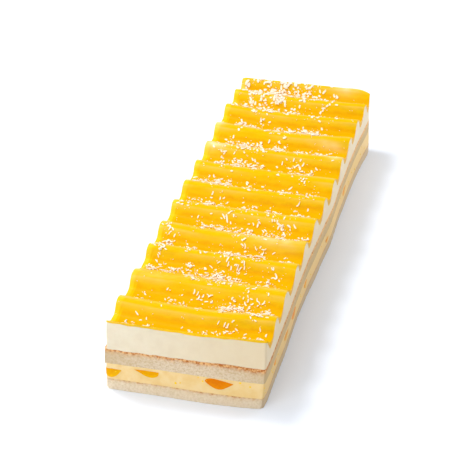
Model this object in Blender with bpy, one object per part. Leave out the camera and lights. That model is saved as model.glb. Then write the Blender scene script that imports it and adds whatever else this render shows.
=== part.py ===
# Mango and passion fruit layer cake, a long bar cut square at both ends.
# From the board up: sponge, passion fruit cream with mango pieces, sponge, white cream
# combed into waves, and a mango glaze strewn with coconut flakes.
# Metres, +Z up. The origin is the middle of the underside, and +Y runs along the cake
# from its front end to its back end.

import math
import random

import bmesh
import bpy
from mathutils import Vector, noise
from mathutils.bvhtree import BVHTree

MM = 0.001

# Driving dimensions of the bar
WIDTH = 95.0 * MM
LENGTH = 359.4 * MM
BASE_SPONGE_TOP = 7.3 * MM
FRUIT_CREAM_TOP = 17.6 * MM
UPPER_SPONGE_TOP = 27.2 * MM
GAP = 0.3 * MM
LAYER_WANDER = 0.5 * MM
LAYER_WANDER_SIZE = 72.0 * MM

# Waves of the white cream, each with a steep face to the front and a long slope behind
WAVE_PITCH = 31.05 * MM
FIRST_RISE = 17.2 * MM
WAVE_COUNT = 12
# One wave from the foot of its steep face: share of the pitch, height of the cream
WAVE_OUTLINE = (
    (0.00, 39.2 * MM),
    (0.05, 42.0 * MM),
    (0.10, 45.2 * MM),
    (0.15, 46.8 * MM),
    (0.26, 47.1 * MM),
    (0.37, 46.2 * MM),
    (0.46, 44.6 * MM),
    (0.58, 41.0 * MM),
    (0.71, 36.3 * MM),
    (0.92, 36.9 * MM),
    (1.00, 39.2 * MM),
)
WAVE_ROUNDING = 0.9 * MM
# How far each wave sits from its even place at the left side, the middle and the right side,
# in millimetres, from the wave before the front end to the one at the back end
RISE_DRIFT_LEFT = (3.4, -1.3, -1.9, 4.3, 2.1, 4.0, 0.5, 1.6, 0.7, 0.3, 3.0, 1.4, -6.0)
RISE_DRIFT_MIDDLE = (4.7, -4.1, -2.8, 4.3, -1.6, 0.3, 0.6, -2.9, -2.2, -3.2, -1.1, -4.5, -6.0)
RISE_DRIFT_RIGHT = (1.3, 0.8, -2.8, 1.9, 1.0, -0.2, 2.5, -3.4, -0.2, 1.9, 2.5, 0.2, -6.0)
RIDGE_WANDER = 0.7 * MM
RIDGE_WANDER_SIZE = 34.0 * MM
RIDGE_HEIGHT_WANDER = 0.45 * MM
RIDGE_HEIGHT_WANDER_SIZE = 42.0 * MM
# How far the last ridge sinks at the back right corner, and how far round it
BACK_CORNER_DROP = 2.6 * MM
BACK_CORNER_SPREAD = 7.0 * MM

# Glaze: a thin coat on the crests that pools between them
GLAZE_COAT = 0.8 * MM
POOL_LEVEL = 40.9 * MM
POOL_BLEND = 1.5 * MM
GLAZE_EDGE_DROP = 0.25 * MM
GLAZE_EDGE_WIDTH = 2.5 * MM
# Directions in which a coat's thickness is measured, from straight up
COAT_ANGLES = tuple(math.radians(21.0 * step) for step in range(-4, 5))

# Where the surfaces of a wave are sampled, as shares of the pitch
WAVE_STATIONS = (0.0, 0.05, 0.10, 0.155, 0.26, 0.38, 0.47, 0.70, 0.86)
LAST_WAVE_STATIONS = (0.0, 0.35, 0.7, 1.0)
COLUMNS = (-47.5, -44.0, -23.0, 0.0, 23.0, 44.0, 47.5)
LAYER_STEP = 22.0 * MM
LAYER_END_STEP = 4.0 * MM
# The flat underside of the waved layer keeps one station in so many
UNDERSIDE_THINNING = 5

# Unevenness of the knife cuts
CUT_ZONE = 14.0 * MM
FRONT_SKEW = 1.25 * MM
FRONT_FOOT_BULGE = 0.9 * MM
FRONT_FOOT_MIDDLE = 16.0 * MM
FRONT_FOOT_SPREAD = 30.0 * MM
BACK_SKEW = 1.2 * MM
LEAN_HEIGHT = 30.0 * MM
CORNER_PULL = 1.1 * MM
BACK_CORNER_PULL = 0.6 * MM
CORNER_FOOT_HEIGHT = 12.0 * MM
CORNER_TOP_SHARE = 0.45
CUT_WANDER = 0.35 * MM
CUT_WANDER_SIZE = 30.0 * MM
# Swells of the long cuts, in millimetres: how far out, distance from the front end, spread.
# The foot's swells fade out towards the lean height.
RIGHT_SWELLS = ((-0.75, 118, 45), (1.1, 208, 26), (0.4, 12, 22), (1.3, 358, 34))
RIGHT_FOOT_SWELLS = ((-0.7, 98, 40), (0.8, 360, 30))
LEFT_SWELLS = ((1.2, 306, 44),)
LEFT_FOOT_SWELLS = ((-0.9, 190, 80), (0.8, 20, 30))

# Mango pieces as they show on the cut faces, in millimetres: name, face, middle, top edge, width,
# drop below the top edge, place of the deepest point (0 left to 1 right), bow of the top,
# place of the highest point, then how blunt the left and the right end are (less is blunter).
# On the long sides the middle is measured from the front end.
MANGO_PIECES = (
    ("mango_front_left", "front", -44.3, 13.8, 10.2, 5.9, 0.42, 0.2, 0.5, 0.5, 0.6),
    ("mango_front_middle", "front", -23.2, 15.5, 14.8, 4.2, 0.62, 0.3, 0.4, 0.6, 0.28),
    ("mango_front_right", "front", 20.2, 15.1, 17.0, 5.0, 0.42, 2.0, 0.24, 0.32, 1.05),
    ("mango_right_1", "right", 30.0, 15.2, 7.0, 3.0, 0.50, 0.4, 0.5, 0.65, 0.65),
    ("mango_right_2", "right", 64.0, 14.2, 12.0, 3.2, 0.35, 0.8, 0.4, 0.5, 0.9),
    ("mango_right_3", "right", 87.0, 15.4, 15.0, 4.8, 0.60, 1.4, 0.6, 0.8, 0.5),
    ("mango_right_4", "right", 127.0, 14.8, 9.5, 3.6, 0.45, 0.9, 0.5, 0.65, 0.65),
    ("mango_right_5", "right", 193.0, 12.2, 8.0, 2.8, 0.50, 0.5, 0.5, 0.5, 0.8),
    ("mango_right_6", "right", 262.0, 15.0, 12.5, 4.2, 0.40, 1.0, 0.4, 0.5, 0.8),
    ("mango_left_1", "left", 58.0, 15.4, 13.0, 4.4, 0.55, 0.9, 0.6, 0.9, 0.5),
    ("mango_left_2", "left", 131.0, 13.6, 9.0, 3.4, 0.40, 0.5, 0.5, 0.5, 0.7),
    ("mango_left_3", "left", 214.0, 15.8, 15.5, 4.6, 0.45, 0.8, 0.4, 0.45, 0.8),
    ("mango_left_4", "left", 301.0, 13.0, 10.0, 3.6, 0.60, 0.6, 0.5, 0.65, 0.65),
    ("mango_back_1", "back", 26.0, 15.2, 13.5, 4.6, 0.45, 1.0, 0.6, 0.65, 0.5),
    ("mango_back_2", "back", -17.0, 13.4, 9.5, 3.4, 0.55, 0.4, 0.5, 0.65, 0.65),
)
MANGO_DEPTH = 6.5 * MM
MANGO_OUTSIDE = 2.5 * MM
# Steps over a slice's outline, and its inner ring: share of the depth, share of the size
MANGO_STEPS = 5
MANGO_INNER_RING = (0.65, 0.85)

# Coconut flakes: wave that they lie before, from and to across the cake in millimetres, number
COCONUT_DRIFTS = (
    (0, -33, -24, 2),
    (0, 0, 38, 6),
    (0, 40, 46, 2),
    (1, -44, 4, 5),
    (1, 6, 22, 6),
    (1, 33, 45, 5),
    (2, -42, -14, 7),
    (2, -14, 20, 11),
    (2, 20, 40, 4),
    (3, -43, -33, 5),
    (3, -24, -8, 2),
    (3, -6, 22, 7),
    (4, -30, 44, 9),
    (5, -41, -20, 8),
    (5, -10, 34, 5),
    (6, -41, -20, 7),
    (6, 6, 30, 5),
    (7, -37, -17, 9),
    (7, -8, 40, 5),
    (8, -40, 38, 9),
    (9, -41, -18, 7),
    (9, 6, 27, 5),
    (10, -39, -6, 10),
    (10, 8, 34, 4),
    (11, -42, 6, 10),
    (11, 12, 30, 3),
)
FLAKE_LENGTH = (2.4 * MM, 4.6 * MM)
FLAKE_WIDTH = (0.8 * MM, 1.25 * MM)
FLAKE_THICKNESS = 0.5 * MM
FLAKE_SINK = 0.12 * MM
FLAKE_CURL = (-0.1 * MM, 0.35 * MM)
FLAKE_SEED = 7
# Sections of a flake: share of its length from the middle, share of its width, share of its curl
FLAKE_SECTIONS = ((-0.5, 0.65, 0.0), (0.05, 1.0, 1.0), (0.5, 0.5, 0.0))
# How far before the foot of a steep face flakes lie: least, most, commonest
FLAKE_PLACES = (-5.0 * MM, 11.0 * MM, 6.5 * MM)
FLAKE_STEEPEST = 0.2
FLAKE_CLEARANCE = 0.15 * MM
FLAKE_MARGIN = 0.5 * MM
FLAKE_BACK_MARGIN = FLAKE_MARGIN + 2.0 * BACK_SKEW
ABOVE_CAKE = 100.0 * MM


# Small helpers

def clamped(value):
    return min(1.0, max(0.0, value))


def eased(value):
    value = clamped(value)
    return value * value * (3.0 - 2.0 * value)


def hump(place, middle, spread):
    """A smooth rise to 1 round a place."""
    return math.exp(-(((place - middle) / spread) ** 2))


def wander(a, b, size, seed):
    """Slow unevenness between about -1 and 1 that repeats itself exactly."""
    return noise.noise(Vector((a / size, b / size, seed * 7.31)))


def larger_of(a, b, blend):
    """The larger of two heights, with a soft corner where they meet."""
    return 0.5 * (a + b + math.sqrt((a - b) ** 2 + blend ** 2))


# The waves

def rise_place(wave, across):
    """Distance from the front end to the foot of a wave's steep face."""
    place = across / (WIDTH / 2)
    left = RISE_DRIFT_LEFT[wave + 1]
    middle = RISE_DRIFT_MIDDLE[wave + 1]
    right = RISE_DRIFT_RIGHT[wave + 1]
    drift = middle + (right - left) / 2 * place + ((left + right) / 2 - middle) * place ** 2
    bend = RIDGE_WANDER * wander(across, wave * WAVE_PITCH, RIDGE_WANDER_SIZE, 1)
    return FIRST_RISE + wave * WAVE_PITCH + drift * MM + bend


def place_in_wave(along, across):
    """The wave at a place, counted from -1 at the front, and the share of it that is past."""
    wave = WAVE_COUNT - 1
    while wave > -1 and rise_place(wave, across) > along:
        wave -= 1
    start = rise_place(wave, across)
    if wave == WAVE_COUNT - 1:
        return wave, (along - start) / WAVE_PITCH
    return wave, (along - start) / (rise_place(wave + 1, across) - start)


def outline_height(share):
    share = share % 1.0
    for (low, low_height), (high, high_height) in zip(WAVE_OUTLINE, WAVE_OUTLINE[1:]):
        if share <= high:
            return low_height + (high_height - low_height) * (share - low) / (high - low)
    return WAVE_OUTLINE[-1][1]


def ridge_swell(along, across):
    """Slow rise and fall along the ridges."""
    swell = RIDGE_HEIGHT_WANDER * wander(along, across, RIDGE_HEIGHT_WANDER_SIZE, 2)
    near_corner = hump(across, WIDTH / 2, BACK_CORNER_SPREAD) * hump(along, LENGTH, BACK_CORNER_SPREAD)
    return swell - BACK_CORNER_DROP * near_corner


def cream_height(along, across):
    """Top of the white cream."""
    share = place_in_wave(along, across)[1]
    step = WAVE_ROUNDING / WAVE_PITCH
    offsets = (-1.0, -0.5, 0.0, 0.5, 1.0)
    height = sum(outline_height(share + step * offset) for offset in offsets) / len(offsets)
    return height + ridge_swell(along, across)


def outside_cream(along, across, distance):
    """A surface a set distance outside the cream, measured square to its slope."""
    best = 0.0
    for angle in COAT_ANGLES:
        raised = cream_height(along + distance * math.sin(angle), across) + distance * math.cos(angle)
        best = max(best, raised)
    return best


def glaze_under(along, across):
    return outside_cream(along, across, GAP)


def glaze_height(along, across):
    """Top of the glaze: a coat on the crests and a pool between them."""
    coat = outside_cream(along, across, GAP + GLAZE_COAT)
    level = POOL_LEVEL + ridge_swell(along, across)
    rim = eased((abs(across) - (WIDTH / 2 - GLAZE_EDGE_WIDTH)) / GLAZE_EDGE_WIDTH)
    return larger_of(coat, level, POOL_BLEND) - GLAZE_EDGE_DROP * rim


# The knife cuts

def swelling(along, swells):
    return sum(out * MM * hump(along, place * MM, spread * MM) for out, place, spread in swells)


def cut_wander(a, height, seed):
    return CUT_WANDER * wander(a, height * 2.0, CUT_WANDER_SIZE, seed)


def side_shift(along, height, side):
    """How far outward a long side stands from straight, at one place on it."""
    lean = clamped(1.0 - height / LEAN_HEIGHT)
    swells = RIGHT_SWELLS if side > 0 else LEFT_SWELLS
    foot_swells = RIGHT_FOOT_SWELLS if side > 0 else LEFT_FOOT_SWELLS
    straying = swelling(along, swells) + lean * swelling(along, foot_swells)
    return straying + cut_wander(along, height, 4 + side)


def as_cut(point):
    """Moves a point of a straight block to where the uneven cuts put it."""
    x, y, z = point
    side = 1 if x > 0 else -1
    near_side = clamped((abs(x) - (WIDTH / 2 - CUT_ZONE)) / CUT_ZONE)
    near_front = clamped((CUT_ZONE - LENGTH / 2 - y) / CUT_ZONE)
    near_back = clamped((y - (LENGTH / 2 - CUT_ZONE)) / CUT_ZONE)
    outward = near_side * side_shift(y + LENGTH / 2, z, side)
    across_share = x / (WIDTH / 2)
    foot = FRONT_FOOT_BULGE * clamped(1.0 - z / LEAN_HEIGHT) * hump(x, FRONT_FOOT_MIDDLE, FRONT_FOOT_SPREAD)
    forward = FRONT_SKEW * (1.0 - across_share) + foot + cut_wander(x, z, 8)
    backward = BACK_SKEW * (across_share - 1.0) + cut_wander(x, z, 9)
    corner_foot = clamped(1.0 - z / CORNER_FOOT_HEIGHT)
    corner = CORNER_PULL * (CORNER_TOP_SHARE + (1.0 - CORNER_TOP_SHARE) * corner_foot)
    if x > 0 and y > 0:
        corner += BACK_CORNER_PULL * clamped(z / LEAN_HEIGHT)
    corner *= (near_side * max(near_front, near_back)) ** 2
    x += side * (outward - corner)
    y += near_front * (corner - forward) + near_back * (backward - corner)
    return Vector((x, y, z))


# Layer boundaries

def flat_underside(along, across):
    return 0.0


def base_top(along, across):
    return BASE_SPONGE_TOP + LAYER_WANDER * wander(along, across, LAYER_WANDER_SIZE, 11)


def filling_top(along, across):
    return FRUIT_CREAM_TOP + LAYER_WANDER * wander(along, across, LAYER_WANDER_SIZE, 12)


def sponge_top(along, across):
    return UPPER_SPONGE_TOP + LAYER_WANDER * wander(along, across, LAYER_WANDER_SIZE, 13)


def lifted(surface):
    """The same boundary, one gap higher."""
    return lambda along, across: surface(along, across) + GAP


# Building blocks

def finish(name, colour, roughness, coat=0.0):
    material = bpy.data.materials.new(name)
    material.use_nodes = True
    shader = material.node_tree.nodes["Principled BSDF"]
    shader.inputs["Base Color"].default_value = (*colour, 1.0)
    shader.inputs["Roughness"].default_value = roughness
    shader.inputs["Metallic"].default_value = 0.0
    shader.inputs["Coat Weight"].default_value = coat
    material.diffuse_color = (*colour, 1.0)
    return material


def new_object(name, bm, material, parent=None, smooth_angle=35.0):
    """Turns a bmesh into a closed, outward-facing object."""
    bmesh.ops.recalc_face_normals(bm, faces=bm.faces)
    mesh = bpy.data.meshes.new(name)
    bm.to_mesh(mesh)
    bm.free()
    mesh.shade_smooth()
    mesh.set_sharp_from_angle(angle=math.radians(smooth_angle))
    mesh.materials.append(material)
    obj = bpy.data.objects.new(name, mesh)
    bpy.context.scene.collection.objects.link(obj)
    obj.parent = parent
    return obj


def layer_stations(across):
    """Even stations along the cake, closer at its ends."""
    middle_length = LENGTH - 2.0 * LAYER_END_STEP
    count = round(middle_length / LAYER_STEP)
    middle = [LAYER_END_STEP + middle_length * step / count for step in range(count + 1)]
    return [0.0] + middle + [LENGTH]


def wave_stations(across):
    """Stations that follow the waves, so that every ridge has its own rows of points."""
    places = [0.0]
    for wave in range(-1, WAVE_COUNT - 1):
        start = rise_place(wave, across)
        pitch = rise_place(wave + 1, across) - start
        shares = [share for share in WAVE_STATIONS if wave >= 0 or share > 0.5]
        places += [start + pitch * share for share in shares]
    last = rise_place(WAVE_COUNT - 1, across)
    places += [last + (LENGTH - last) * share for share in LAST_WAVE_STATIONS]
    return places


def layer(name, material, parent, stations, low, high, rows=1, thinning=1):
    """A layer between two surfaces that runs through the cake and shows at its four sides."""
    across_places = [column * MM for column in COLUMNS]
    lines = [stations(across) for across in across_places]
    last_column = len(lines) - 1
    last_station = len(lines[0]) - 1
    bm = bmesh.new()
    points = {}

    def point(i, j, row):
        if row == 0 and j < last_station:
            j -= j % thinning
        if (i, j, row) not in points:
            across, along = across_places[i], lines[i][j]
            bottom = low(along, across)
            height = bottom + (high(along, across) - bottom) * row / rows
            points[i, j, row] = bm.verts.new(as_cut((across, along - LENGTH / 2, height)))
        return points[i, j, row]

    def face(*corners):
        corners = list(dict.fromkeys(corners))
        if len(corners) > 2:
            bm.faces.new(corners)

    for i in range(last_column):
        for j in range(last_station):
            for row in (0, rows):
                face(point(i, j, row), point(i + 1, j, row), point(i + 1, j + 1, row))
                face(point(i, j, row), point(i + 1, j + 1, row), point(i, j + 1, row))
    rim = [(i, 0) for i in range(last_column)]
    rim += [(last_column, j) for j in range(last_station)]
    rim += [(i, last_station) for i in range(last_column, 0, -1)]
    rim += [(0, j) for j in range(last_station, 0, -1)]
    for here, there in zip(rim, rim[1:] + rim[:1]):
        for row in range(rows):
            face(point(*here, row), point(*there, row),
                 point(*there, row + 1), point(*here, row + 1))
    return new_object(name, bm, material, parent)


# Mango pieces

def outline_line(share, height, summit, ends):
    """Height of a slice's upper or lower line at a share of its width."""
    skew = math.log(0.5) / math.log(summit)
    bluntness = ends[0] + (ends[1] - ends[0]) * share
    return height * math.sin(math.pi * share ** skew) ** bluntness


def mango_outline(width, drop, belly, bow, crown, ends, grow):
    """A slice of mango seen on the cut: nearly flat above and bellied below."""
    shares = [step / MANGO_STEPS for step in range(MANGO_STEPS + 1)]
    points = [(width * (share - 0.5), outline_line(share, bow, crown, ends)) for share in shares]
    points += [(width * (share - 0.5), outline_line(share, -drop, belly, ends)) for share in shares[-2:0:-1]]
    middle = Vector((0.0, (bow - drop) / 2.0))
    grown = []
    for point in points:
        arm = Vector(point) - middle
        grown.append(middle + arm * (1.0 + grow / arm.length))
    return grown


def face_point(face, over, depth, height):
    """A point given by its place over a cut face, its depth behind the face and its height."""
    if face == "front":
        return (over, depth - LENGTH / 2, height)
    if face == "back":
        return (over, LENGTH / 2 - depth, height)
    if face == "right":
        return (WIDTH / 2 - depth, over - LENGTH / 2, height)
    return (depth - WIDTH / 2, over - LENGTH / 2, height)


def mango_form(name, spec, material, parent, grow):
    """A chunk that starts outside the cut face and rounds off inside the filling."""
    face, middle, top, width, drop, belly, bow, crown, *ends = spec
    outline = mango_outline(width * MM, drop * MM, belly, bow * MM, crown, ends, grow)
    centre = Vector((0.0, (bow - drop) * MM / 2.0))
    depth = MANGO_DEPTH + grow
    inner_depth, inner_size = MANGO_INNER_RING
    rings = ((-MANGO_OUTSIDE, 1.0), (depth * inner_depth, inner_size))
    bm = bmesh.new()
    loops = []
    for inward, scale in rings:
        loop = []
        for point in outline:
            flat = centre + (point - centre) * scale
            place = face_point(face, middle * MM + flat.x, inward, top * MM + flat.y)
            loop.append(bm.verts.new(as_cut(place)))
        loops.append(loop)
    tip_place = face_point(face, middle * MM, depth, top * MM + centre.y)
    tip = bm.verts.new(as_cut(tip_place))
    bm.faces.new(loops[0])
    count = len(outline)
    for outer, inner in zip(loops, loops[1:]):
        for k in range(count):
            bm.faces.new([outer[k], outer[(k + 1) % count], inner[(k + 1) % count], inner[k]])
    for k in range(count):
        bm.faces.new([loops[-1][k], loops[-1][(k + 1) % count], tip])
    return new_object(name, bm, material, parent)


def as_guide(obj):
    """Marks an object that only shapes others."""
    obj.hide_render = True
    obj.display_type = "WIRE"
    return obj


def boolean(obj, name, operation, other=None, group=None):
    modifier = obj.modifiers.new(name, "BOOLEAN")
    modifier.operation = operation
    if group:
        modifier.operand_type = "COLLECTION"
        modifier.collection = group
    else:
        modifier.object = other
    return modifier


# Coconut

def flake(bm, place, along_axis, up_axis, length, width, curl):
    """A shred of coconut: a tapered strip, bent once along its length."""
    side_axis = up_axis.cross(along_axis).normalized()
    loops = []
    for share, scale, bend in FLAKE_SECTIONS:
        middle = place + along_axis * (length * share) + up_axis * (curl * bend)
        half_width = side_axis * (width * scale / 2.0)
        half_thickness = up_axis * (FLAKE_THICKNESS / 2.0)
        corners = [half_width + half_thickness, half_thickness - half_width,
                   -half_width - half_thickness, half_width - half_thickness]
        loops.append([bm.verts.new(middle + corner) for corner in corners])
    for outer, inner in zip(loops, loops[1:]):
        for k in range(4):
            bm.faces.new([outer[k], outer[(k + 1) % 4], inner[(k + 1) % 4], inner[k]])
    bm.faces.new(loops[0])
    bm.faces.new(loops[-1])


def clear_of_cream(bm):
    """Whether a flake stays above the glaze's underside and inside the cake's sides."""
    for vert in bm.verts:
        along = vert.co.y + LENGTH / 2
        inside = FLAKE_MARGIN < along < LENGTH - FLAKE_BACK_MARGIN
        inside = inside and abs(vert.co.x) < WIDTH / 2 - FLAKE_MARGIN
        if not inside or vert.co.z < outside_cream(along, vert.co.x, GAP) + FLAKE_CLEARANCE:
            return False
    return True


def strew_coconut(glaze, material, group):
    """Lays the larger flakes on the glaze, thickest in the troughs."""
    surface = BVHTree.FromObject(glaze, bpy.context.evaluated_depsgraph_get())
    draw = random.Random(FLAKE_SEED)
    number = 0
    for wave, start, end, count in COCONUT_DRIFTS:
        laid = 0
        while laid < count:
            across = draw.uniform(start, end) * MM
            along = rise_place(wave, across) - draw.triangular(*FLAKE_PLACES)
            heading = draw.uniform(0.0, math.pi)
            length = draw.uniform(*FLAKE_LENGTH)
            width = draw.uniform(*FLAKE_WIDTH)
            curl = draw.uniform(*FLAKE_CURL)
            above = Vector((across, along - LENGTH / 2, ABOVE_CAKE))
            hit, normal, _, _ = surface.ray_cast(above, Vector((0.0, 0.0, -1.0)))
            if hit is None or normal.z < FLAKE_STEEPEST:
                continue
            heading_axis = Vector((math.cos(heading), math.sin(heading), 0.0))
            along_axis = (heading_axis - normal * heading_axis.dot(normal)).normalized()
            lift = FLAKE_THICKNESS / 2.0 - FLAKE_SINK
            bm = bmesh.new()
            flake(bm, hit + normal * lift, along_axis, normal, length, width, curl)
            if not clear_of_cream(bm):
                bm.free()
                continue
            obj = new_object(f"flake_{number}", bm, material)
            bpy.context.scene.collection.objects.unlink(obj)
            group.objects.link(obj)
            number += 1
            laid += 1


def keep_largest_body(mesh):
    """Drops loose scraps and the walls of sealed hollows after the union."""
    bm = bmesh.new()
    bm.from_mesh(mesh)
    bmesh.ops.triangulate(bm, faces=bm.faces)
    unseen = set(bm.verts)
    bodies = []
    while unseen:
        body = set()
        open_ends = [unseen.pop()]
        while open_ends:
            vert = open_ends.pop()
            body.add(vert)
            for edge in vert.link_edges:
                other = edge.other_vert(vert)
                if other in unseen:
                    unseen.discard(other)
                    open_ends.append(other)
        bodies.append(body)
    bodies.sort(key=len)
    for body in bodies[:-1]:
        bmesh.ops.delete(bm, geom=list(body), context="VERTS")
    bm.to_mesh(mesh)
    bm.free()


def fuse(obj, group):
    """Joins a collection of flakes to an object and removes the collection."""
    modifier = boolean(obj, "coconut", "UNION", group=group)
    modifier.solver = "MANIFOLD"
    fused = bpy.data.meshes.new_from_object(obj.evaluated_get(bpy.context.evaluated_depsgraph_get()))
    obj.modifiers.clear()
    obj.data = fused
    for piece in list(group.objects):
        bpy.data.objects.remove(piece)
    bpy.data.collections.remove(group)
    keep_largest_body(fused)


def main():
    for obj in list(bpy.data.objects):
        bpy.data.objects.remove(obj)

    sponge = finish("almond_sponge", (0.74, 0.62, 0.45), 0.9)
    fruit = finish("passion_fruit_cream", (0.93, 0.66, 0.24), 0.55)
    white = finish("white_cream", (0.88, 0.80, 0.63), 0.6)
    glaze_finish = finish("mango_glaze", (1.0, 0.56, 0.0), 0.12, coat=0.5)
    mango = finish("mango_flesh", (0.96, 0.36, 0.0), 0.2, coat=0.3)

    cake = bpy.data.objects.new("cake", None)
    bpy.context.scene.collection.objects.link(cake)

    layer("base_sponge", sponge, cake, layer_stations, flat_underside, base_top, rows=2)
    filling = layer("fruit_cream", fruit, cake, layer_stations, lifted(base_top), filling_top)
    block = as_guide(layer("filling_block", fruit, cake, layer_stations,
                           lifted(base_top), filling_top))
    layer("upper_sponge", sponge, cake, layer_stations, lifted(filling_top), sponge_top)
    layer("white_cream", white, cake, wave_stations, lifted(sponge_top), cream_height,
          thinning=UNDERSIDE_THINNING)
    glaze = layer("mango_glaze", glaze_finish, cake, wave_stations, glaze_under, glaze_height)

    pockets = bpy.data.collections.new("mango_pockets")
    bpy.context.scene.collection.children.link(pockets)
    for name, *spec in MANGO_PIECES:
        piece = mango_form(name, spec, mango, cake, 0.0)
        boolean(piece, "cut_flush", "INTERSECT", other=block)
        pocket = as_guide(mango_form(f"pocket_{name}", spec, mango, cake, GAP))
        bpy.context.scene.collection.objects.unlink(pocket)
        pockets.objects.link(pocket)
    boolean(filling, "mango_pockets", "DIFFERENCE", group=pockets)

    coconut = bpy.data.collections.new("coconut")
    bpy.context.scene.collection.children.link(coconut)
    strew_coconut(glaze, glaze_finish, coconut)
    fuse(glaze, coconut)


main()
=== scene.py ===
import math
import random

import bmesh
import bpy
import numpy as np
from mathutils import Matrix, Quaternion, Vector, noise
from mathutils.bvhtree import BVHTree


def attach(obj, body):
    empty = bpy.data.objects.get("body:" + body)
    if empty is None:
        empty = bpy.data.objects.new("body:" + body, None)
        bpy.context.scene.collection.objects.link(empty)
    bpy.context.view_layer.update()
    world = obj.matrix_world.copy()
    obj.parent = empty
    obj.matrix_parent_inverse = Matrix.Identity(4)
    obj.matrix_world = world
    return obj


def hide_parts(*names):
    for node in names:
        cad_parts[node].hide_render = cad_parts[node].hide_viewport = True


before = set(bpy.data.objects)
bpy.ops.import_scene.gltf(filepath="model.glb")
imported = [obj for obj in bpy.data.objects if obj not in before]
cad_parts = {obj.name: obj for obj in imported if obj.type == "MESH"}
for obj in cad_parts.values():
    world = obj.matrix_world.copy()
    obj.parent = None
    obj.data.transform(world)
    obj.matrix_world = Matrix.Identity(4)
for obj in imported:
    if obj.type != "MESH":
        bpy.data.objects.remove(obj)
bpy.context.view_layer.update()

MM = 0.001
# How far apart two seeds' patterns lie in the noise
WANDER_SEED_STEP = 7.31
ROUGH_SEED_STEP = 3.17

# The bar, as its solids have it but for the upper sponge, which is 0.35 mm higher
WIDTH = 95.0 * MM
LENGTH = 359.4 * MM
BASE_SPONGE_TOP = 7.3 * MM
FRUIT_CREAM_TOP = 17.6 * MM
UPPER_SPONGE_TOP = 27.55 * MM
# Slow swells of the layers' tops, and crags with seeds of their own
LAYER_WANDER = 0.5 * MM
LAYER_WANDER_SIZE = 72.0 * MM
CRAGGINESS = 0.4 * MM
CRAG_SIZE = 3.2 * MM
CRAG_SEEDS = 30

# The waves
WAVE_PITCH = 31.05 * MM
FIRST_RISE = 17.2 * MM
WAVE_COUNT = 12
OUTLINE_SHARES = (0.00, 0.05, 0.10, 0.15, 0.26, 0.37, 0.46, 0.58, 0.71, 0.92, 1.00)
OUTLINE_HEIGHTS = (39.2 * MM, 42.0 * MM, 45.2 * MM, 46.8 * MM, 47.1 * MM, 46.2 * MM, 44.6 * MM,
                   41.0 * MM, 36.3 * MM, 36.9 * MM, 39.2 * MM)
WAVE_ROUNDING = 0.9 * MM
ROUNDING_STEPS = (-1.0, -0.5, 0.0, 0.5, 1.0)
RISE_DRIFT_LEFT = (3.4, -1.3, -1.9, 4.3, 2.1, 4.0, 0.5, 1.6, 0.7, 0.3, 3.0, 1.4, -6.0)
RISE_DRIFT_MIDDLE = (4.7, -4.1, -2.8, 4.3, -1.6, 0.3, 0.6, -2.9, -2.2, -3.2, -1.1, -4.5, -6.0)
RISE_DRIFT_RIGHT = (1.3, 0.8, -2.8, 1.9, 1.0, -0.2, 2.5, -3.4, -0.2, 1.9, 2.5, 0.2, -6.0)
RIDGE_WANDER = 0.7 * MM
RIDGE_WANDER_SIZE = 34.0 * MM
RIDGE_HEIGHT_WANDER = 0.45 * MM
RIDGE_HEIGHT_WANDER_SIZE = 42.0 * MM
BACK_CORNER_DROP = 1.8 * MM
BACK_CORNER_SPREAD = 4.5 * MM

# The glaze, whose pools run up the rises in a wider curve than the solids have
GLAZE_GAP = 0.3 * MM
GLAZE_COAT = 0.8 * MM
POOL_LEVEL = 40.7 * MM
POOL_BLEND = 6.0 * MM
GLAZE_EDGE_DROP = 0.25 * MM
GLAZE_EDGE_WIDTH = 2.5 * MM
COAT_ANGLES = tuple(math.radians(21.0 * step) for step in range(-4, 5))

# The knife cuts
CUT_ZONE = 14.0 * MM
FRONT_SKEW = 1.25 * MM
FRONT_FOOT_BULGE = 1.4 * MM
FRONT_FOOT_MIDDLE = 16.0 * MM
FRONT_FOOT_SPREAD = 30.0 * MM
BACK_SKEW = 1.2 * MM
LEAN_HEIGHT = 30.0 * MM
CORNER_PULL = 0.8 * MM
BACK_CORNER_PULL = 0.3 * MM
CORNER_FOOT_HEIGHT = 12.0 * MM
CORNER_TOP_SHARE = 0.45
CUT_WANDER = 0.35 * MM
CUT_WANDER_SIZE = 30.0 * MM
# Swells of the long cuts, in millimetres: how far out, distance from the front end, spread.
# The foot's swells fade out towards the lean height.
RIGHT_SWELLS = ((-0.75, 118, 45), (1.1, 208, 26), (0.4, 12, 22), (1.3, 358, 34))
RIGHT_FOOT_SWELLS = ((-0.7, 98, 40), (1.5, 360, 26), (-0.6, 10, 30))
LEFT_SWELLS = ((1.2, 306, 44), (0.6, 0, 8))
LEFT_FOOT_SWELLS = ((-0.9, 190, 80), (0.8, 20, 30))
CORNER_RADIUS = 1.2 * MM
CORNER_FOOT_RADIUS = 2.2 * MM
# The upper sponge bulges at the left of the front, and its top rises near the right of it
SPONGE_BULGE = 1.0 * MM
SPONGE_BULGE_SPREAD = 26.0 * MM
SPONGE_RISE = 0.7 * MM
SPONGE_RISE_MIDDLE = 25.0 * MM
SPONGE_RISE_SPREAD = 11.0 * MM

# The glaze's finer unevenness: its surface, and how far it runs down over the cut edges
GLAZE_UNEVENNESS = 0.22 * MM
GLAZE_UNEVENNESS_SIZE = 9.0 * MM
GLAZE_PROUD = 0.12 * MM
GLAZE_RUN = 0.6 * MM
GLAZE_SIDE_RUN = 0.15 * MM
GLAZE_RUN_SIZE = 6.0 * MM
RUN_MEAN = 0.35
RUN_RANGE = 1.4
# Heights between which the jelly turns from lemon yellow to amber
LEMON_HEIGHT = 47.4 * MM
AMBER_HEIGHT = 41.2 * MM
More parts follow.
